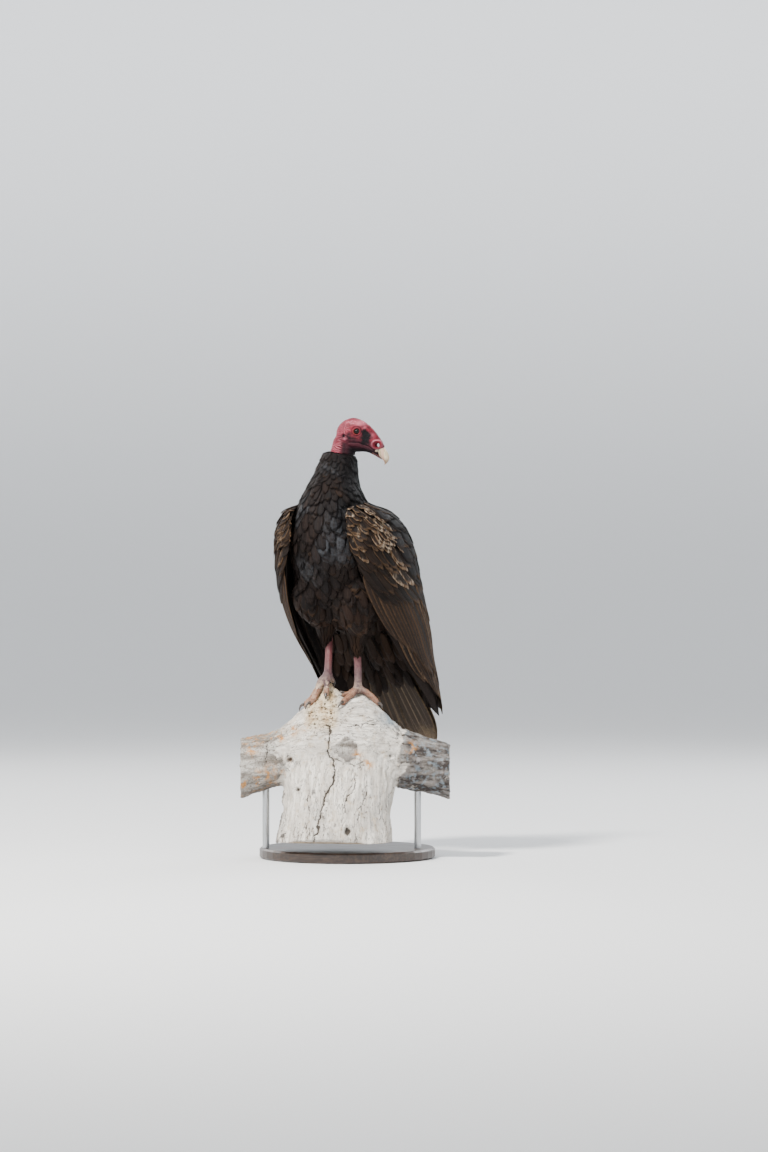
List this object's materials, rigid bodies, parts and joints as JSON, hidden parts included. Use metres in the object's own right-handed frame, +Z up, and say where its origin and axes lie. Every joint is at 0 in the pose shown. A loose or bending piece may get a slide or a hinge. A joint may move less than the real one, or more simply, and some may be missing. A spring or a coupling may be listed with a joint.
{
  "type": "turkey vulture",
  "caption": "Still life-size turkey vulture with folded wings, perched on a short forked length of dead limb held by a plain display stand.",
  "frame": {"origin": "on the stand base's underside, straight below the midpoint between the feet", "axes": "+Z up, the bird's trunk faces -Y, the bird's left side is +X"},
  "size_m": [0.3614, 0.4396, 0.7498],
  "materials": {
    "plumage": "matt blackish-brown feathers with a faint blue gloss and buff edges",
    "bare_skin": "wrinkled bare crimson skin",
    "bill_horn": "smooth ivory horn",
    "eye": "wet dark brown",
    "leg_skin": "scaled pink skin with whitish patches",
    "claw_horn": "smooth blackish horn",
    "dead_wood": "bleached, cracked dead wood with lichen",
    "stand_board": "satin dark stained board",
    "stand_steel": "brushed rod"
  },
  "bodies": {
    "root": {"bill_lower": "bill_horn", "bill_upper": "bill_horn", "claw_left_hind": "claw_horn", "claw_left_inner": "claw_horn", "claw_left_middle": "claw_horn", "claw_left_outer": "claw_horn", "claw_right_hind": "claw_horn", "claw_right_inner": "claw_horn", "claw_right_middle": "claw_horn", "claw_right_outer": "claw_horn", "eye_left": "eye", "eye_right": "eye", "foot_left": "leg_skin", "foot_right": "leg_skin", "head": "bare_skin", "neck": "plumage", "perch": "dead_wood", "shank_left": "leg_skin", "shank_right": "leg_skin", "stand_base": "stand_board", "stand_rod_1": "stand_steel", "stand_rod_2": "stand_steel", "tail": "plumage", "thigh_left": "plumage", "thigh_right": "plumage", "trunk": "plumage", "wing_left": "plumage", "wing_right": "plumage"}
  },
  "joints": []
}
